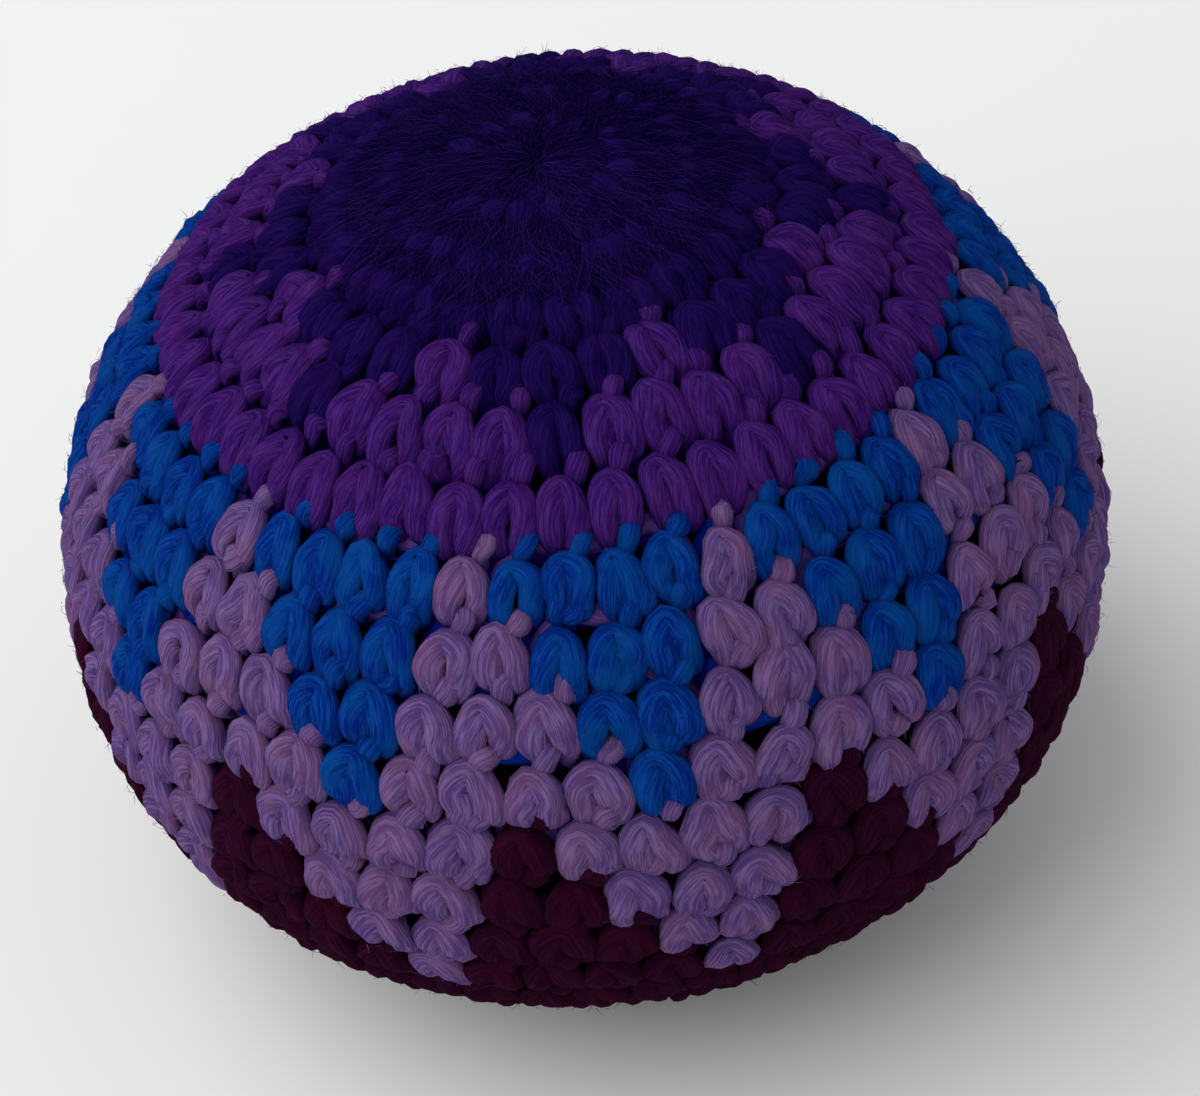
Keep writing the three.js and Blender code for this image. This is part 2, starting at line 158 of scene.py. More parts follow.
def lay_yarn(work, line, ways_out, radius, sides=12, depth=0.0, flatness=0.0):
    """Lays plied yarn along a line: a tube whose section has a lobe for each ply, and turns.
    A flatness above 0 spreads the section sideways, as where the yarn is pressed."""
    radius = np.broadcast_to(radius, len(line))
    depth = np.broadcast_to(depth, len(line))
    along = unit(np.gradient(line, axis=0))
    up = unit(ways_out - np.sum(ways_out * along, -1, keepdims=True) * along)
    across = np.cross(along, up)
    length = np.concatenate([[0], np.cumsum(np.linalg.norm(np.diff(line, axis=0), axis=1))])
    twist = 2 * math.pi * length / PLY_PITCH + work.random.uniform(0, 2 * math.pi)
    spoke = 2 * math.pi * np.arange(sides) / sides
    groove = (1 + np.cos(PLIES * spoke)) / 2
    shape = 1 - PLY_DEPTH * groove**1.5
    angle = spoke[None, :] + twist[:, None]
    place = length / RIDGE_LENGTH
    ridges = work.random.normal(0, RIDGE_DEPTH, (int(place[-1]) + 2, sides))
    before = place.astype(int)
    passed = (place - before)[:, None]
    ridge = ridges[before] * (1 - passed) + ridges[before + 1] * passed
    size = radius[:, None] * (shape[None, :] + ridge)
    rise = size * np.cos(angle) * (1 - flatness)
    points = (line[:, None, :] + rise[..., None] * up[:, None, :]
              + (size * np.sin(angle) * (1 + flatness))[..., None] * across[:, None, :])
    # Painted shade, marked per point: 1 where the yarn lies deep under the outside of the ball, and a share
    # of GROOVE_SHADE in the grooves between plies.
    sunk = np.clip((depth[:, None] - rise - SHADE_START) / SHADE_REACH, 0, 1)
    shades = 1 - (1 - sunk) * (1 - GROOVE_SHADE * groove[None, :])
    start = work.random.uniform(0, STRAND_LENGTH)
    along_strand = (length + start)[:, None]
    fibres = np.stack(np.broadcast_arrays(np.cos(spoke)[None], np.sin(spoke)[None], along_strand), -1)
    work.add(points, fibres, shades, closed_tube_faces(len(line), sides))
    work.lines.append((line, up, across, along, radius))


TABLE_CLEARANCE = 0.02


def make_piece(work, name, material, nodes):
    """Turns laid yarn into one piece that stands for its CAD nodes and rides with the ball."""
    points = np.concatenate(work.points)
    points[:, 2] = np.maximum(points[:, 2], TABLE_CLEARANCE)  # pressed flat where the ball rests
    corners = np.concatenate([block.reshape(-1) for block in work.faces])
    sizes = np.concatenate([np.full(len(block), block.shape[1]) for block in work.faces])
    mesh = bpy.data.meshes.new(name)
    mesh.vertices.add(len(points))
    mesh.vertices.foreach_set("co", (points * MM).astype(np.float32).ravel())
    mesh.loops.add(len(corners))
    mesh.loops.foreach_set("vertex_index", corners.astype(np.int32))
    mesh.polygons.add(len(sizes))
    mesh.polygons.foreach_set("loop_start", (np.cumsum(sizes) - sizes).astype(np.int32))
    mesh.polygons.foreach_set("use_smooth", np.ones(len(sizes), bool))
    fibre = mesh.attributes.new("fibre", "FLOAT_VECTOR", "POINT")
    fibre.data.foreach_set("vector", np.concatenate(work.fibres).astype(np.float32).ravel())
    shade = mesh.attributes.new("shade", "FLOAT", "POINT")
    shade.data.foreach_set("value", np.concatenate(work.shades).astype(np.float32))
    mesh.update()
    mesh.validate()
    mesh.materials.append(material)
    piece = bpy.data.objects.new(name, mesh)
    bpy.context.scene.collection.objects.link(piece)
    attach(piece, "root")
    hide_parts(*nodes)
    return piece


def new_material(name):
    material = bpy.data.materials.new(name)
    material.use_nodes = True
    material.node_tree.nodes.clear()
    return material, material.node_tree


def node(tree, kind, **values):
    made = tree.nodes.new(kind)
    for key, value in values.items():
        if key in made.inputs:
            made.inputs[key].default_value = value
        else:
            setattr(made, key, value)
    return made


def share_between(tree, value, low, high, most=1.0):
    """0 where the value is low, rising smoothly to most where it is high."""
    made = node(tree, "ShaderNodeMapRange", interpolation_type="SMOOTHSTEP")
    made.inputs["From Min"].default_value = low
    made.inputs["From Max"].default_value = high
    made.inputs["To Max"].default_value = most
    tree.links.new(value, made.inputs["Value"])
    return made.outputs["Result"]


def mix_colours(tree, share, first, second):
    """A mix of two colours, each a colour or a link."""
    made = node(tree, "ShaderNodeMix", data_type="RGBA")
    tree.links.new(share, made.inputs["Factor"])
    for socket, colour in (("A", first), ("B", second)):
        if isinstance(colour, tuple):
            made.inputs[socket].default_value = (*colour, 1)
        else:
            tree.links.new(colour, made.inputs[socket])
    return made.outputs["Result"]


def lay_surface(tree, colour, relief, relief_strength, relief_height, roughness, specular=0.5):
    """Joins a colour and a fine relief to the material's surface."""
    bump = node(tree, "ShaderNodeBump", Strength=relief_strength, Distance=relief_height)
    tree.links.new(relief, bump.inputs["Height"])
    shader = node(tree, "ShaderNodeBsdfPrincipled", Roughness=roughness)
    shader.inputs["Specular IOR Level"].default_value = specular
    tree.links.new(colour, shader.inputs["Base Color"])
    tree.links.new(bump.outputs["Normal"], shader.inputs["Normal"])
    output = node(tree, "ShaderNodeOutputMaterial")
    tree.links.new(shader.outputs["BSDF"], output.inputs["Surface"])
    return shader


def spun_yarn(name, deep, main, light, other, sheen=0.02):
    """Soft plied yarn: fine fibres run along each ply, the tone drifts along the yarn from main to other,
    the grooves between plies and the yarn deep between stitches take deep, a painted shade colour, and
    loose fibres are light."""
    material, tree = new_material(name)
    link = tree.links.new
    fibre = node(tree, "ShaderNodeAttribute", attribute_name="fibre")
    shade = node(tree, "ShaderNodeAttribute", attribute_name="shade")
    place = node(tree, "ShaderNodeTexCoord")

    stretched = node(tree, "ShaderNodeVectorMath", operation="MULTIPLY")
    stretched.inputs[1].default_value = (6.5, 6.5, 0.8)
    link(fibre.outputs["Vector"], stretched.inputs[0])
    hairs = node(tree, "ShaderNodeTexNoise", Scale=1.0, Detail=4.0, Roughness=0.62)
    link(stretched.outputs[0], hairs.inputs["Vector"])
    drift = node(tree, "ShaderNodeTexNoise", Scale=420.0, Detail=2.0, Roughness=0.5)
    link(place.outputs["Object"], drift.inputs["Vector"])

    drifted = mix_colours(tree, share_between(tree, drift.outputs["Fac"], 0.42, 0.64), main, other)
    hair_share = share_between(tree, hairs.outputs["Fac"], 0.40, 0.64, 0.85)
    haired = mix_colours(tree, hair_share, drifted, light)
    # Painted shade: the colour is mixed towards deep in the ply grooves and where the yarn lies deep
    # between stitches.
    colour = mix_colours(tree, share_between(tree, shade.outputs["Fac"], 0.05, 1.0, 0.95), haired, deep)

    shader = lay_surface(tree, colour, hairs.outputs["Fac"], 0.8, 0.00010, roughness=0.92, specular=0.012)
    shader.inputs["Sheen Weight"].default_value = sheen
    shader.inputs["Sheen Roughness"].default_value = 0.5
    shader.inputs["Sheen Tint"].default_value = (*light, 1)
    return material


# Each yarn's deep colour is the painted shade it takes in its ply grooves and between the stitches.
dark_purple = spun_yarn("dark_purple_spun_yarn",
                        deep=(0.0015, 0.0005, 0.050), main=(0.0045, 0.0010, 0.042),
                        light=(0.0140, 0.0045, 0.074), other=(0.0085, 0.0014, 0.048))

START_RING_RADIUS = 1.35
START_RING_YARN_RADIUS = 0.68
START_RING_DEPTH = 1.4
START_RING_ARC = 400  # the loop's ends overlap
START_RING_DROP = 0.5
UPWARD = np.array([0.0, 0.0, 1.0])

ring_turn = np.radians(np.linspace(0, START_RING_ARC, 40))
ring_top = outline_height[0] - START_RING_DEPTH
ring_height = ring_top - START_RING_DROP * (ring_turn / ring_turn[-1])
start_ring = Work(seed=1)
lay_yarn(start_ring, round_the_axis(START_RING_RADIUS, ring_turn, ring_height), UPWARD,
         START_RING_YARN_RADIUS)
make_piece(start_ring, "start_ring_loop", dark_purple, ["start_ring"])


# ---------------------------------------------------------------------------------------------
# Dark purple crown, rounds 1 to 5. Single crochet, worked tightly in the round from the start
# ring, with eight more stitches in each round so that it lies as a low dome. In rounds 4 and 5
# the violet yarn takes over some stitches, and the yarn not in use is carried inside them.
# ---------------------------------------------------------------------------------------------

# One repeat of each round that changes colour, a letter for each stitch:
# D dark purple, V violet, B blue, M mauve, R maroon
CHART = {4: "VDDD", 5: "VVVVD", 7: "MBBBB", 8: "MMBBB", 9: "MMMBB", 10: "MMMMB",
         11: "MMRMM", 12: "MMRRM", 13: "MMRRR", 14: "RMRRR"}
WIDEST_STITCHES = 55
GROWTH = 8  # stitches added in each crown round, and dropped in each closing round
TOOTH_AZIMUTH = 20.0
PEAK_AZIMUTH = -15.75
LEAN_PER_ROUND = 0.29  # stitches by which each round of the band falls behind the one above


def stitches_in(round_number):
    return min(GROWTH * round_number, WIDEST_STITCHES, GROWTH * (ROUNDS + 1 - round_number))


def yarn_of(round_number):
    """The letter of the yarn that each stitch of a round is worked in."""
    if round_number in CHART:
        repeat = CHART[round_number]
    else:
        repeat = "D" if round_number < 4 else "V" if round_number == 6 else "R"
    return (repeat * WIDEST_STITCHES)[:stitches_in(round_number)]


def first_azimuth(round_number):
    """Azimuth of the middle of a round's first stitch."""
    if round_number == 5:
        return TOOTH_AZIMUTH - 1.5 * 360 / stitches_in(5)
    if round_number < 7:
        return TOOTH_AZIMUTH
    return PEAK_AZIMUTH - (round_number - 7) * LEAN_PER_ROUND * 360 / WIDEST_STITCHES


YARN_RADIUS = 0.84  # where the stitches are widest; narrower stitches squeeze the yarn
TIGHTEST_SQUEEZE = 0.79
WIDEST_PITCH = 2 * math.pi * HALF_WIDTH / WIDEST_STITCHES

# A stitch, seen from outside with the crown up: the yarn comes up from inside at the lower left,
# bends over in a plump arch and goes in again at the lower right.
# Columns: across in stitches, down in rounds, depth and the yarn's thickness as a share.
ARCH = np.array([
    [-0.16, 1.12, 2.15, 0.74],
    [-0.20, 1.01, 1.16, 0.86],
    [-0.25, 0.79, 0.76, 1.01],
    [-0.24, 0.53, 0.66, 1.09],
    [-0.05, 0.29, 0.98, 1.03],
    [0.20, 0.52, 0.66, 1.09],
    [0.25, 0.79, 0.76, 1.01],
    [0.21, 1.01, 1.16, 0.86],
    [0.17, 1.12, 2.15, 0.74],
])
ARCH_MIDDLE = 0.6  # rounds down an arch that its lean turns about
ARCH_SIDES = 12
# The loop at a stitch's head, a small lump that shows between the feet of the stitch above
HEAD_LOOP = np.array([
    [0.19, 0.27, 1.90, 0.56],
    [0.24, 0.14, 0.98, 0.72],
    [0.31, 0.00, 0.66, 0.78],
    [0.38, -0.11, 0.92, 0.72],
    [0.43, -0.23, 1.90, 0.54],
])
HEAD_STEPS = 3
HEAD_SIDES = 8
# The yarn not in use lies along the top of the round, inside the stitches worked over it
CARRIED_DEPTH = 1.70
CARRIED_DOWN = 0.02
CARRIED_THICKNESS = 0.80
PRESSED_FLAT = 0.20
CROWN_ROUNDS = 6
DRAWN_UP = 0.25  # rounds by which the crown's stitches are drawn up towards its middle
BAND_ROUNDS = 9
SIDE_SAG = 0.3  # rounds by which the settled fill lets the band hang lower at the ball's two sides
# How unevenly the stitches are worked
JITTER = np.array([0.026, 0.030, 0.060, 0.045])
LEAN_JITTER = 0.08
WIDTH_JITTER = 0.04
PLACE_JITTER = 0.035
THICKNESS_JITTER = 0.03


def smooth_path(points, per_step):
    """A Catmull-Rom line through the rows of points, with per_step samples between neighbours."""
    p = np.concatenate([[2 * points[0] - points[1]], points, [2 * points[-1] - points[-2]]])
    share = np.linspace(0, 1, per_step, endpoint=False)[None, :, None]
    a, b, c, d = (p[i:len(p) - 3 + i, None, :] for i in range(4))
    line = 0.5 * (2 * b + (c - a) * share + (2 * a - 5 * b + 4 * c - d) * share**2
                  + (3 * b - a - 3 * c + d) * share**3)
    return np.concatenate([line.reshape(-1, points.shape[1]), points[-1:]])


def lay_in_round(work, round_number, path, per_step, sides):
    """Lays yarn along a path given as across, down, depth and thickness within one round."""
    path = smooth_path(path, per_step)
    count = stitches_in(round_number)
    azimuth = first_azimuth(round_number) + path[:, 0] * 360 / count
    run = first_run + (round_number - 1 + path[:, 1]) * ROUND_HEIGHT
    down_crown = np.clip((round_number - 2 + path[:, 1]) / CROWN_ROUNDS, 0, 1)
    down_band = np.clip((round_number - 7 + path[:, 1]) / BAND_ROUNDS, 0, 1)
    sag = SIDE_SAG * np.sin(np.radians(azimuth)) ** 2 * np.sin(math.pi * down_band) ** 2
    run = run + ROUND_HEIGHT * (sag - DRAWN_UP * np.sin(math.pi * down_crown) ** 2)
    middle_radius = outline_at(first_run + (round_number - 0.5) * ROUND_HEIGHT)[0]
    squeeze = np.clip(2 * math.pi * middle_radius / count / WIDEST_PITCH, TIGHTEST_SQUEEZE, 1)
    line, ways_out = on_ball(azimuth, run, path[:, 2])
    lay_yarn(work, line, ways_out, YARN_RADIUS * squeeze * path[:, 3], sides, path[:, 2], PRESSED_FLAT)


def crochet(work, letter, round_number, first=0, count=None, unevenness=1.0, per_step=4):
    """Works one yarn along a round: arches where the chart names it, carried inside elsewhere."""
    chart = yarn_of(round_number)
    count = len(chart) if count is None else count
    path = []
    for stitch in range(first, first + count):
        if chart[stitch % len(chart)] == letter:
            shape = ARCH + work.random.normal(0, unevenness, ARCH.shape) * JITTER
            leaning = work.random.normal(0, LEAN_JITTER * unevenness)
            widening = work.random.normal(1, WIDTH_JITTER)
            shape[:, 0] = shape[:, 0] * widening + leaning * (ARCH_MIDDLE - shape[:, 1])
            shape[:, 1] += work.random.normal(0, PLACE_JITTER)
            shape[:, 3] *= work.random.normal(1, THICKNESS_JITTER)
            path.append(shape + [stitch, 0, 0, 0])
            head = HEAD_LOOP + work.random.normal(0, unevenness, HEAD_LOOP.shape) * JITTER
            head[:, :2] += work.random.normal(0, PLACE_JITTER * unevenness, 2)
            lay_in_round(work, round_number, head + [stitch, 0, 0, 0], HEAD_STEPS, HEAD_SIDES)
        else:
            carried = [stitch, CARRIED_DOWN, CARRIED_DEPTH, CARRIED_THICKNESS]
            path.append(np.array([carried]) + work.random.normal(0, 1, (1, 4)) * JITTER)
    lay_in_round(work, round_number, np.concatenate(path), per_step, ARCH_SIDES)


FUZZ_THICKNESS = 0.020
FUZZ_LEAN = 1.3  # radians to either side of straight out at which a fibre may leave the yarn
FUZZ_SWAY = 0.14
FUZZ_CURL = 0.25
ANY_WAY = np.array([0.31, -0.52, 0.79])  # no fibre lies quite along it


def lay_fibres(work, line, thickness=FUZZ_THICKNESS):
    """Lays single loose fibres, tapered, three-sided, one along each row of points."""
    count, rings = line.shape[:2]
    along = unit(np.gradient(line, axis=1))
    side = unit(np.cross(along, ANY_WAY))
    other = np.cross(along, side)
    taper = thickness * np.linspace(1, 0.25, rings)[None, :, None, None]
    angle = 2 * math.pi * np.arange(3) / 3
    points = line[:, :, None] + taper * (np.cos(angle)[:, None] * side[:, :, None]
                                         + np.sin(angle)[:, None] * other[:, :, None])
    start = (np.arange(count) * rings * 3)[:, None, None]
    ring, i = np.arange(rings - 1)[None, :, None] * 3, np.arange(3)[None, None, :]
    j = (i + 1) % 3
    wall = np.stack([start + ring + i, start + ring + j, start + ring + j + 3, start + ring + i + 3], -1)
    foot = start[:, 0] + np.array([[2, 1, 0]])
    tip = start[:, 0] + (rings - 1) * 3 + np.array([[0, 1, 2]])
    fibres = np.repeat(work.random.uniform(0, STRAND_LENGTH, (count, 1, 3)), rings * 3, 1)
    work.add(points, fibres, np.full(count * rings * 3, -1.0), [wall.reshape(-1, 4), foot, tip])


def raise_fuzz(work, count, length):
    """Lets loose fibre ends stand a little out of the yarn that has been laid so far."""
    line, up, across, along, radius = (np.concatenate(parts) for parts in zip(*work.lines))
    chosen = work.random.choice(len(line), count)
    lean = work.random.uniform(-FUZZ_LEAN, FUZZ_LEAN, count)
    out = np.cos(lean)[:, None] * up[chosen] + np.sin(lean)[:, None] * across[chosen]
    root = line[chosen] + out * radius[chosen, None] * 0.9
    sway = work.random.normal(0, 1, (count, 3))
    lengths = work.random.uniform(0.35, 1, count)[:, None] * length
    onward = along[chosen] * work.random.normal(0, 0.9, (count, 1))
    heading = unit(out * 0.08 + onward + sway * FUZZ_SWAY)
    bend = sway * FUZZ_CURL - out * 0.3  # it curls, and comes back to lie on the yarn
    share = np.array([0, 0.33, 0.66, 1])[None, :, None]
    reached = heading[:, None] * share + bend[:, None] * share**2 / 2
    lay_fibres(work, root[:, None] + lengths[:, None] * reached)


crown = Work(seed=2)
for round_number in range(1, 6):
    crochet(crown, "D", round_number)
raise_fuzz(crown, 5100, 0.7)
make_piece(crown, "crown_stitches", dark_purple, ["crown_yarn"])

# The crown is rubbed, so its loose fibres lie brushed outwards over the stitches
BRUSHED_FIBRES = 6200
BRUSHED_OUT_TO = 9.5
BRUSHED_LENGTH = 5.0
BRUSHED_THICKNESS = 0.030
BRUSHED_DEPTH = 0.35
BRUSHED_SWING = 14
brushed_purple = spun_yarn("brushed_dark_purple_fibres",
                           deep=(0.0015, 0.0005, 0.050), main=(0.0028, 0.0004, 0.034),
                           light=(0.0240, 0.0080, 0.108), other=(0.0085, 0.0014, 0.055), sheen=0.07)
brushed = Work(seed=8)
at = brushed.random.uniform(0, 1, BRUSHED_FIBRES) ** 0.65 * BRUSHED_OUT_TO
azimuth = brushed.random.uniform(0, 360, BRUSHED_FIBRES)
swing = brushed.random.normal(0, BRUSHED_SWING, BRUSHED_FIBRES)
length = brushed.random.uniform(0.3, 1, BRUSHED_FIBRES) * BRUSHED_LENGTH
share = np.linspace(0, 1, 5)
runs = at[:, None] + length[:, None] * share
swung = azimuth[:, None] + swing[:, None] * share * 3 / (at[:, None] / 3 + 1)
height = brushed.random.uniform(0.02, 0.24, (BRUSHED_FIBRES, 1))
brushed_line, _ = on_ball(swung, runs, BRUSHED_DEPTH - height * (0.6 + np.sin(math.pi * share)[None, :]))
lay_fibres(brushed, brushed_line, BRUSHED_THICKNESS)
make_piece(brushed, "crown_brushed_fibres", brushed_purple, ["crown_yarn"])


# ---------------------------------------------------------------------------------------------
# Violet ring. Lone stitches in round 4 and groups of four in round 5 stand over the whole of
# round 6, which closes the crown. Same stitch and thickness as the crown, a softer yarn.
# ---------------------------------------------------------------------------------------------

violet = spun_yarn("violet_spun_yarn", deep=(0.030, 0.002, 0.220), main=(0.021, 0.0034, 0.082),
                   light=(0.064, 0.0180, 0.152), other=(0.036, 0.0044, 0.086))
violet_ring = Work(seed=3)
for round_number in range(4, 7):
    crochet(violet_ring, "V", round_number)
raise_fuzz(violet_ring, 4700, 0.7)
make_piece(violet_ring, "violet_ring_stitches", violet, ["violet_ring_yarn"])


# ---------------------------------------------------------------------------------------------
# Blue points, rounds 7 to 10, eleven round the ball. Each starts four stitches wide and loses
# one in every round. It is one yarn, carried behind the mauve from each point to the next.
# ---------------------------------------------------------------------------------------------

blue = spun_yarn("blue_spun_yarn", deep=(0.0006, 0.004, 0.280), main=(0.0005, 0.0125, 0.150),
                 light=(0.0036, 0.0510, 0.250), other=(0.0008, 0.0370, 0.180))
BAND_REPEATS = 11
REPEAT_STITCHES = 5
for point in range(BAND_REPEATS):
    blue_point = Work(seed=20 + point)
    for round_number in range(7, 11):
        crochet(blue_point, "B", round_number, point * REPEAT_STITCHES, REPEAT_STITCHES + 1)
    raise_fuzz(blue_point, 700, 0.7)
    number = f"{point + 1:02d}"
    make_piece(blue_point, f"blue_point_stitches_{number}", blue, [f"blue_point_{number}"])


# ---------------------------------------------------------------------------------------------
# Mauve zigzag, rounds 7 to 14. Its peaks rise between the blue points and its feet run down
# between the maroon ones. A heathered yarn, lavender with dusty pink fibres in it.
# ---------------------------------------------------------------------------------------------

mauve = spun_yarn("mauve_spun_yarn", deep=(0.070, 0.026, 0.300), main=(0.065, 0.034, 0.140),
                  light=(0.172, 0.104, 0.250), other=(0.106, 0.044, 0.122))
MAUVE_UNEVENNESS = 1.3  # this yarn is slacker than the others
MAUVE_PARTS = {"mauve_peak_stitches": (4, range(7, 11)), "mauve_valley_stitches": (9, range(11, 15))}
for name, (seed, rounds) in MAUVE_PARTS.items():
    mauve_part = Work(seed)
    for round_number in rounds:
        crochet(mauve_part, "M", round_number, unevenness=MAUVE_UNEVENNESS)
    raise_fuzz(mauve_part, 3300, 0.7)
    make_piece(mauve_part, name, mauve, ["mauve_zigzag_yarn"])


# ---------------------------------------------------------------------------------------------
# Maroon base. Its points fill the valleys of the mauve in rounds 11 to 14, and from round 15
# it is worked alone, eight stitches fewer in each of the last rounds, until the ball is closed.
# ---------------------------------------------------------------------------------------------

maroon = spun_yarn("maroon_spun_yarn", deep=(0.045, 0.0015, 0.026), main=(0.0140, 0.0010, 0.0085),
                   light=(0.027, 0.0034, 0.017), other=(0.020, 0.0010, 0.0085))
MAROON_PARTS = {"maroon_point_stitches": (5, range(11, 15)), "maroon_side_stitches": (6, range(15, 18)),
                "maroon_foot_stitches": (7, range(18, ROUNDS + 1))}
for name, (seed, rounds) in MAROON_PARTS.items():
    maroon_part = Work(seed)
    for round_number in rounds:
        crochet(maroon_part, "R", round_number, per_step=3)
    raise_fuzz(maroon_part, 2600, 0.7)
    make_piece(maroon_part, name, maroon, ["maroon_base_yarn"])


# ---------------------------------------------------------------------------------------------
# Yarn tails. Where a yarn is joined in, its cut end is left a few stitches long inside the
# cover and lies against it. The plies of the end come apart into loose fibre.
# ---------------------------------------------------------------------------------------------

TAIL_DEPTH = 4.0
TAIL_RADIUS = 0.6
FRAYED_FIBRES = 60
FRAYED_LENGTH = 2.4
TAIL_SWAY = 0.5

# Yarn, then the azimuths and the rounds down from the start ring where a tail starts and ends
TAILS = {
    "crown_tail": (dark_purple, "dark_purple_yarn", (150, 190), (3, 8)),
    "violet_tail": (violet, "violet_yarn", (60, 100), (5.5, 10)),
    "blue_tail": (blue, "blue_yarn", (-60, -100), (7, 12)),
    "mauve_tail": (mauve, "mauve_yarn", (120, 160), (10, 14)),
    "maroon_tail": (maroon, "maroon_yarn", (-30, 10), (13, 17.5)),
}
for seed, (name, (material, slot, azimuths, rounds)) in enumerate(TAILS.items(), start=40):
    tail = Work(seed)
    share = np.linspace(0, 1, 90)
    azimuth = np.interp(share, [0, 1], azimuths) + TAIL_SWAY * np.sin(share * 21)
    run = first_run + np.interp(share, [0, 1], rounds) * ROUND_HEIGHT
    line, ways_out = on_ball(azimuth, run, np.full(len(share), TAIL_DEPTH))
    thinning = np.interp(share, [0, 0.9, 1], [1, 1, 0.55])
    lay_yarn(tail, line, ways_out, TAIL_RADIUS * thinning)
    onward = unit(line[-1] - line[-3])
    spread = tail.random.normal(0, 0.16, (FRAYED_FIBRES, 1, 3)) + onward
    reached = tail.random.uniform(0.4, 1, (FRAYED_FIBRES, 1, 1)) * FRAYED_LENGTH
    reached = reached * np.linspace(0, 1, 4)[:, None]
    rooted = line[-3] + tail.random.normal(0, 0.12, (FRAYED_FIBRES, 1, 3))
    lay_fibres(tail, rooted + spread * reached)
    raise_fuzz(tail, 220, 1.0)
    make_piece(tail, f"{name}_yarn", material, [name])


# ---------------------------------------------------------------------------------------------
# Pellets. Moulded plastic pellets, lens-shaped and a little uneven, fill the pouch nearly to
# its shoulder. They lie packed but loose, each turned its own way, and give the ball weight.
# ---------------------------------------------------------------------------------------------

PELLET_RADIUS = 1.62
PELLET_HALF_THICKNESS = 1.2
PELLET_SPACING = 3.36
PELLET_JITTER = 0.07
PELLET_SQUASH = 0.3  # how far an outer pellet presses past the heap's outside
PELLET_SIDES = 10
PELLET_RINGS = 6
HEAP_DEPTH = 6.0  # the heap's own outside, under the outside of the ball
HEAP_RISE = 1.6

pellets = Work(seed=50)
heap_low, heap_high = (np.array(corner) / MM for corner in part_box("pellets"))
# Packed like oranges in a crate: a corner and three face middles to each cube
cube = np.array([[0, 0, 0], [0.5, 0.5, 0], [0.5, 0, 0.5], [0, 0.5, 0.5]])
cells = np.mgrid[-9:10, -9:10, 0:10].reshape(3, -1).T[:, None] + cube
middles = cells.reshape(-1, 3) * PELLET_SPACING * math.sqrt(2)
middles[:, 2] += heap_low[2] + PELLET_HALF_THICKNESS
middles += pellets.random.uniform(-PELLET_JITTER, PELLET_JITTER, middles.shape)
from_axis = np.hypot(middles[:, 0], middles[:, 1])
outline = np.stack([outline_radius, outline_height], -1)[::12]
depth = np.min(np.hypot(from_axis[:, None] - outline[:, 0], middles[:, 2, None] - outline[:, 1]), axis=1)
heap_top = heap_high[2] - HEAP_RISE * (from_axis / heap_high[0]) ** 2
inside = (depth > HEAP_DEPTH + PELLET_RADIUS - PELLET_SQUASH) & (from_axis < heap_high[0])
middles = middles[inside & (middles[:, 2] < heap_top - PELLET_RADIUS)]

rise = math.pi * (np.arange(PELLET_RINGS) / (PELLET_RINGS - 1) - 0.5)
around = 2 * math.pi * np.arange(PELLET_SIDES) / PELLET_SIDES
width = PELLET_RADIUS * np.maximum(np.cos(rise), 0.06) ** 0.7  # a blunt edge and two small flats
level = np.repeat(PELLET_HALF_THICKNESS * np.sin(rise)[:, None], PELLET_SIDES, 1)
lens = np.stack([width[:, None] * np.cos(around), width[:, None] * np.sin(around), level], -1)
lens = lens.reshape(-1, 3)
turned, _ = np.linalg.qr(pellets.random.normal(0, 1, (len(middles), 3, 3)))
turned *= np.sign(np.linalg.det(turned))[:, None, None]
uneven = pellets.random.uniform(0.9, 1.0, (len(middles), 1, 3))
points = (lens[None] * uneven) @ turned + middles[:, None]
starts = (np.arange(len(middles)) * len(lens))[:, None, None]
faces = [(starts + block).reshape(-1, 4) for block in closed_tube_faces(PELLET_RINGS, PELLET_SIDES)]
own = np.repeat(pellets.random.uniform(0, 1, (len(middles), 1, 3)), len(lens), 1)
pellets.add(points, own, np.zeros(points.shape[:2]), faces)

pellet_plastic, tree = new_material("moulded_pellet_plastic")
own_tint = node(tree, "ShaderNodeAttribute", attribute_name="fibre")
split = node(tree, "ShaderNodeSeparateXYZ")
tree.links.new(own_tint.outputs["Vector"], split.inputs[0])
place = node(tree, "ShaderNodeTexCoord")
cloud = node(tree, "ShaderNodeTexNoise", Scale=900.0, Detail=3.0, Roughness=0.5)
tree.links.new(place.outputs["Object"], cloud.inputs["Vector"])
milky = mix_colours(tree, split.outputs["X"], (0.78, 0.77, 0.72), (0.88, 0.88, 0.85))
cloud_share = share_between(tree, cloud.outputs["Fac"], 0.35, 0.7, 0.5)
clouded = mix_colours(tree, cloud_share, milky, (0.70, 0.68, 0.60))
lay_surface(tree, clouded, cloud.outputs["Fac"], 0.3, 0.00006, roughness=0.4)
make_piece(pellets, "loose_pellets", pellet_plastic, ["pellets"])


# ---------------------------------------------------------------------------------------------
# Pouch. A thin, dark stretch-knit bag keeps the pellets from working out between the stitches.
# It is filled, pressed out by the pellets, and gathered into a neck that stands in a dimple.
# ---------------------------------------------------------------------------------------------

POUCH_DEPTH = 5.2
POUCH_THICKNESS = 0.45
NECK_RADIUS = 2.25
SHOULDER_RADIUS = 8.5
DIMPLE_DEPTH = 3.2
GATHERS = 15
GATHER_DEPTH = 0.17
GATHERS_SHIFT = 0.9  # how unevenly the gathers are spread round the neck
PELLET_DENT = 0.10
PELLET_DENT_PITCH = 3.3
POUCH_COLUMNS = 240

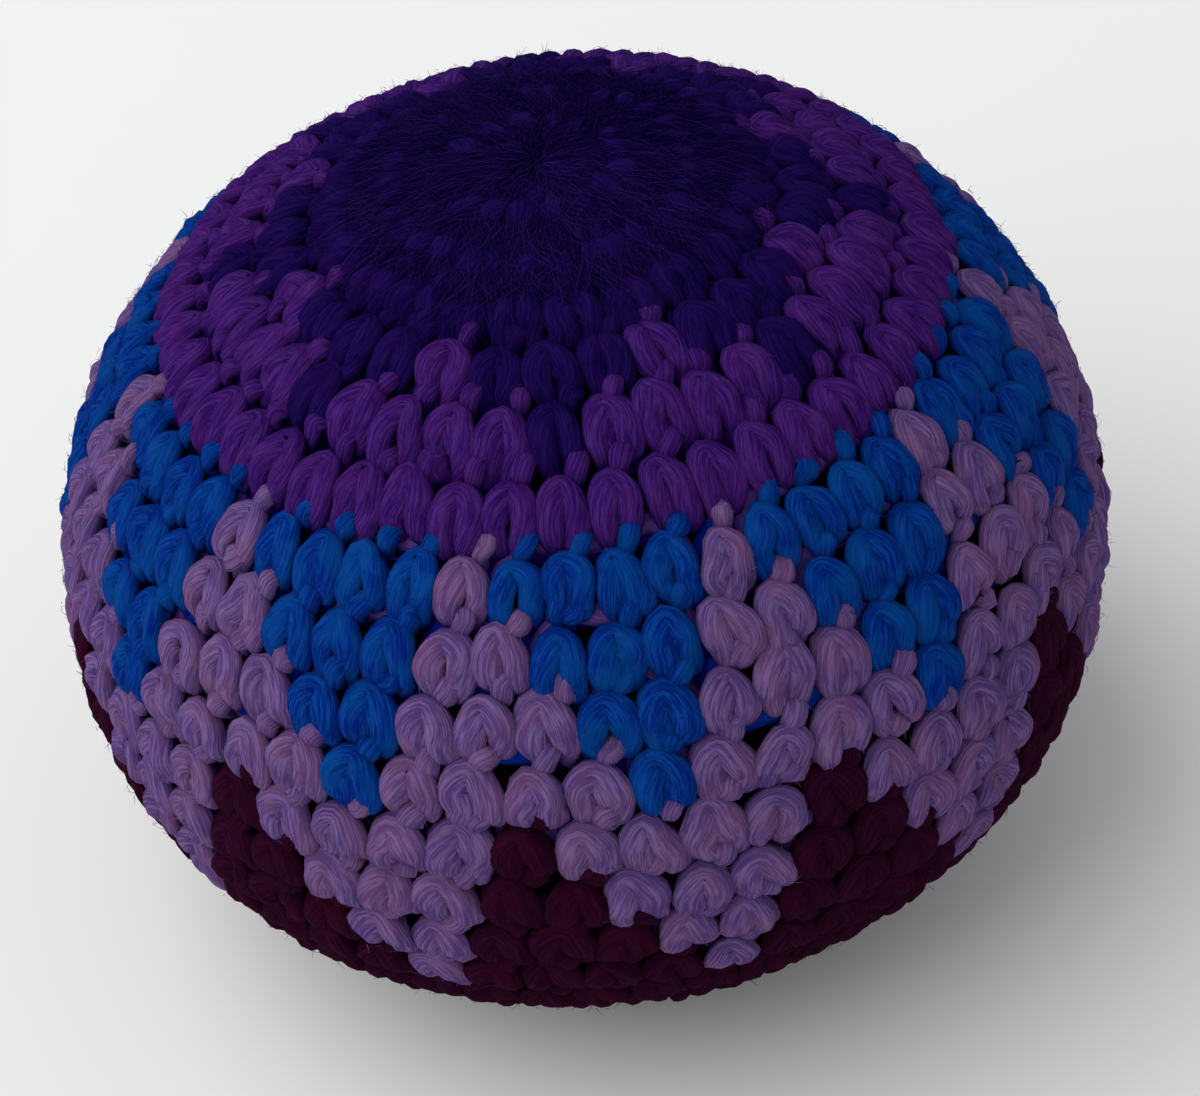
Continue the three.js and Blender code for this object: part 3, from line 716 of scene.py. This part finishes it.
neck_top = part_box("pouch")[1][2] / MM
shoulder_run = outline_run[np.argmax(outline_radius >= SHOULDER_RADIUS * (1 + POUCH_DEPTH / HALF_WIDTH))]
side_runs = np.linspace(outline_run[-1], shoulder_run, 90)
radius, height, out_r, out_z = outline_at(side_runs)
side = np.stack([radius - out_r * POUCH_DEPTH, height - out_z * POUCH_DEPTH], -1)
side[0, 0] = 0.02  # the knit closes at the middle of the underside
share = np.linspace(0, 1, 22)[1:]
shoulder = side[-1]
drop = DIMPLE_DEPTH * (1 - np.cos(math.pi * share)) / 2
dimple = np.stack([shoulder[0] + (NECK_RADIUS - shoulder[0]) * share, shoulder[1] - drop], -1)
neck = np.stack([np.full(10, NECK_RADIUS), np.linspace(dimple[-1, 1], neck_top, 11)[1:]], -1)
profile = np.concatenate([side, dimple, neck])
along = unit(np.gradient(profile, axis=0))
outward = np.stack([along[:, 1], -along[:, 0]], -1)
length = np.concatenate([[0], np.cumsum(np.hypot(*np.diff(profile, axis=0).T))])

turns = 2 * math.pi * np.arange(POUCH_COLUMNS) / POUCH_COLUMNS
gathered = np.interp(profile[:, 0], [NECK_RADIUS, 6, 15], [1, 0.8, 0])[:, None]
gathered = gathered * (np.arange(len(profile)) > len(side) * 0.6)[:, None]
fold = np.cos(GATHERS * turns + GATHERS_SHIFT * np.sin(3 * turns))[None] * gathered * GATHER_DEPTH
dent_down = np.cos(length / PELLET_DENT_PITCH * 2 * math.pi)[:, None]
dent_round = np.cos(profile[:, :1] * turns[None] / PELLET_DENT_PITCH * 2)
dent = PELLET_DENT * dent_down * dent_round
offset = fold + dent * (1 - gathered)


def pouch_skin(inset):
    """The pouch's surface moved in by a part of its wall, as a grid of points."""
    moved = profile[:, None] + outward[:, None] * (offset - inset)[..., None]
    return round_the_axis(np.maximum(moved[..., 0], 0.01), turns, moved[..., 1])


rows = len(profile)
outer_faces = tube_faces(rows, POUCH_COLUMNS)
inner_faces = outer_faces[:, ::-1] + rows * POUCH_COLUMNS
outer_rim = (rows - 1) * POUCH_COLUMNS + np.arange(POUCH_COLUMNS)
inner_rim = outer_rim + rows * POUCH_COLUMNS
rim = np.stack([outer_rim, np.roll(outer_rim, -1), np.roll(inner_rim, -1), inner_rim], -1)
around = np.broadcast_to(profile[:, :1] * turns[None], (rows, POUCH_COLUMNS))
cloth = np.stack([around, np.broadcast_to(length[:, None], around.shape), np.zeros_like(around)], -1)
pouch = Work(seed=60)
skins = np.stack([pouch_skin(0), pouch_skin(POUCH_THICKNESS)])
# Painted shade: the hollows of the gathers round the neck are marked to be coloured darker.
gather_shade = np.clip(0.5 - np.stack([fold, fold]) / GATHER_DEPTH, 0, 1)
pouch.add(skins, np.stack([cloth, cloth]), gather_shade, [outer_faces, inner_faces, rim])

pouch_knit, tree = new_material("dark_stretch_knit")
cloth_place = node(tree, "ShaderNodeAttribute", attribute_name="fibre")
gather_shade_attribute = node(tree, "ShaderNodeAttribute", attribute_name="shade")
wales = node(tree, "ShaderNodeTexWave", Scale=0.55, Distortion=1.5, Detail=2.0)
courses = node(tree, "ShaderNodeTexWave", Scale=0.75, Distortion=2.0, Detail=2.0, bands_direction="Y")
for wave in (wales, courses):
    tree.links.new(cloth_place.outputs["Vector"], wave.inputs["Vector"])
knit = node(tree, "ShaderNodeMath", operation="MULTIPLY")
tree.links.new(wales.outputs["Fac"], knit.inputs[0])
tree.links.new(courses.outputs["Fac"], knit.inputs[1])
loop_share = share_between(tree, knit.outputs[0], 0.1, 0.8)
loops = mix_colours(tree, loop_share, (0.008, 0.008, 0.080), (0.018, 0.020, 0.140))
# Painted shade: the knit is coloured darker in the hollows of its gathers.
gather_shade_share = share_between(tree, gather_shade_attribute.outputs["Fac"], 0.3, 1.0, 0.8)
knit_colour = mix_colours(tree, gather_shade_share, loops, (0.005, 0.005, 0.050))
lay_surface(tree, knit_colour, knit.outputs[0], 0.6, 0.0001, roughness=0.8, specular=0.1)
pouch_piece = make_piece(pouch, "knitted_pouch", pouch_knit, ["pouch"])


# ---------------------------------------------------------------------------------------------
# Pouch tie. Three turns of twisted cotton thread drawn tight round the pouch's neck, finished
# with an overhand knot and two short ends.
# ---------------------------------------------------------------------------------------------

TIE_RADIUS = 3.0
TIE_THREAD_RADIUS = 0.25
TIE_TURNS = 3
TIE_RISE = 0.52
TIE_KNOT_SIZE = 0.21
TIE_KNOT_OPENING = 0.35  # radians left out of the knot's line, where the ends come away
TIE_KNOT_PROUD = 0.3
TIE_END_ARC = 0.9  # radians that each end lies back round the neck
TIE_END_PROUD = 0.35
TIE_END_SPREAD = 0.2
THREAD_SIDES = 8


def overhand_knot(turn, size, swell):
    """The line of an overhand knot: across it, up it and through its thickness."""
    across = size * (np.sin(turn) + 2 * np.sin(2 * turn))
    up = size * (np.cos(turn) - 2 * np.cos(2 * turn))
    return across, up, -swell * np.sin(3 * turn)


cotton_thread = spun_yarn("twisted_cotton_thread", deep=(0.35, 0.32, 0.26), main=(0.72, 0.69, 0.60),
                          light=(0.86, 0.84, 0.78), other=(0.66, 0.62, 0.52))
tie_low, tie_high = (np.array(corner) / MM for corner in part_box("pouch_tie"))
tie_middle = (tie_low[2] + tie_high[2]) / 2
tie = Work(seed=61)
wound = np.linspace(0, TIE_TURNS * 2 * math.pi, 150)
wound = np.linspace(0, TIE_TURNS * 2 * math.pi, 150)
wound_height = tie_middle + TIE_RISE * (wound / wound[-1] - 0.5)
lay_yarn(tie, round_the_axis(TIE_RADIUS, wound, wound_height), UPWARD, TIE_THREAD_RADIUS, THREAD_SIDES)
knot_turn = np.linspace(TIE_KNOT_OPENING, 2 * math.pi - TIE_KNOT_OPENING, 60)
wide, tall, deep = overhand_knot(knot_turn, TIE_KNOT_SIZE, 0.9 * TIE_KNOT_SIZE)
knot_line = np.stack([wide, deep, tall], -1) + [0, -TIE_RADIUS - TIE_KNOT_PROUD, tie_middle]
lay_yarn(tie, knot_line, np.array([0.0, -1.0, 0.2]), TIE_THREAD_RADIUS * 0.8, THREAD_SIDES)
for way in (-1, 1):
    end_height = tie_middle + way * TIE_END_SPREAD
    end_line = round_the_axis(TIE_RADIUS + TIE_END_PROUD, way * np.linspace(0, TIE_END_ARC, 16), end_height)
    lay_yarn(tie, end_line, UPWARD, TIE_THREAD_RADIUS * 0.85, THREAD_SIDES)
make_piece(tie, "pouch_tie_thread", cotton_thread, ["pouch_tie"])


# ---------------------------------------------------------------------------------------------
# Closing knot. The end of the maroon yarn is drawn through the last round, knotted in the
# closing hole and pulled up so that it stays clear of the table.
# ---------------------------------------------------------------------------------------------

KNOT_YARN_RADIUS = 0.62
KNOT_SIZE = 0.78

knot_low, knot_high = (np.array(corner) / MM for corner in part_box("closing_knot"))
closing_knot = Work(seed=62)
knot_turn = np.linspace(0, 2 * math.pi, 90)
swell = (knot_high[2] - knot_low[2]) / 2 - KNOT_YARN_RADIUS
knot_line = np.stack(overhand_knot(knot_turn, KNOT_SIZE, swell), -1)
knot_line[:, 2] += (knot_low[2] + knot_high[2]) / 2
lay_yarn(closing_knot, knot_line, -UPWARD, KNOT_YARN_RADIUS)
raise_fuzz(closing_knot, 150, 0.9)
make_piece(closing_knot, "closing_knot_yarn", maroon, ["closing_knot"])


# ---------------------------------------------------------------------------------------------
# Setting. The ball rests on a pale, matt table in soft light from a wide source at its left,
# with a weak light in front that lifts the shadows. The camera looks down on it from in front.
# ---------------------------------------------------------------------------------------------

scene = bpy.context.scene
scene.view_settings.view_transform = "Standard"

bpy.ops.mesh.primitive_plane_add(size=6)
table = bpy.context.object
table.name = "table_top"
table_paint = bpy.data.materials.new("pale_table")
table_paint.use_nodes = True
table_shader = table_paint.node_tree.nodes["Principled BSDF"]
table_shader.inputs["Base Color"].default_value = (0.86, 0.855, 0.835, 1)
table_shader.inputs["Roughness"].default_value = 0.9
table_shader.inputs["Specular IOR Level"].default_value = 0.1
table.data.materials.append(table_paint)

world = bpy.data.worlds.new("studio")
scene.world = world
world.use_nodes = True
world.node_tree.nodes["Background"].inputs["Color"].default_value = (0.93, 0.95, 1.0, 1)
world.node_tree.nodes["Background"].inputs["Strength"].default_value = 0.52

ball_middle = Vector((0, 0, FOOT_DEPTH)) * MM


def soft_light(name, azimuth, elevation, distance, size, power):
    """A square soft box that faces the ball."""
    a, e = math.radians(azimuth), math.radians(elevation)
    way = Vector((math.sin(a) * math.cos(e), -math.cos(a) * math.cos(e), math.sin(e)))
    data = bpy.data.lights.new(name, "AREA")
    data.size = size
    data.energy = power
    lamp = bpy.data.objects.new(name, data)
    lamp.location = ball_middle + way * distance
    lamp.rotation_euler = way.to_track_quat("Z", "Y").to_euler()
    scene.collection.objects.link(lamp)


soft_light("key_light", azimuth=-82, elevation=50, distance=1.0, size=1.5, power=12.0)
soft_light("fill_light", azimuth=20, elevation=25, distance=0.9, size=0.8, power=0.5)

CAMERA_DISTANCE = 7 * HALF_WIDTH * MM
CAMERA_ELEVATION = math.radians(39.6)
CAMERA_ROLL = math.radians(-7.3)
camera_data = bpy.data.cameras.new("camera")
camera_data.lens = 109.0
camera_data.sensor_width = 36.0
camera_data.shift_x = 0.0133
camera_data.shift_y = -0.015
camera_data.clip_start = 0.01
camera = bpy.data.objects.new("camera", camera_data)
back = Vector((0, -math.cos(CAMERA_ELEVATION), math.sin(CAMERA_ELEVATION)))
camera.location = ball_middle + back * CAMERA_DISTANCE
rolled = back.to_track_quat("Z", "Y").to_matrix() @ Matrix.Rotation(CAMERA_ROLL, 3, "Z")
camera.rotation_euler = rolled.to_euler()
scene.collection.objects.link(camera)
scene.camera = camera
